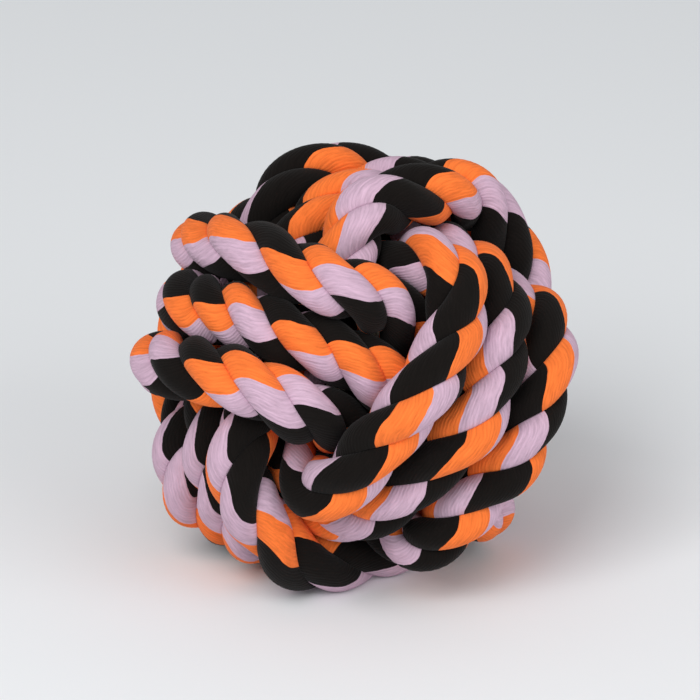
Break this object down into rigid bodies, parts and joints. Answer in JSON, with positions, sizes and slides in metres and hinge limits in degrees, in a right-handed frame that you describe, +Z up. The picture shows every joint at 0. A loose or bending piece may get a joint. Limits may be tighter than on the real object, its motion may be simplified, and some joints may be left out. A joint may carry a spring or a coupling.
{
  "type": "rope dog toy",
  "caption": "Round dog toy of thick laid cotton rope in orange, lilac and black, knotted as a monkey's fist round a hidden core.",
  "frame": {"origin": "middle of the base, on the surface that the ball stands on", "axes": "+Z up; the side that the picture shows faces -Y; +X to its right"},
  "size_m": [0.1006, 0.1064, 0.0961],
  "materials": {
    "rope_cotton": "matt laid cotton yarn, orange with lilac and black yarns in every strand",
    "core_wadding": "matt wound waste cotton",
    "binding_thread": "matt waxed cotton thread"
  },
  "bodies": {
    "root": {"rope": "rope_cotton", "core_ball": "core_wadding", "end_binding_first": "binding_thread", "end_binding_last": "binding_thread"}
  },
  "joints": []
}
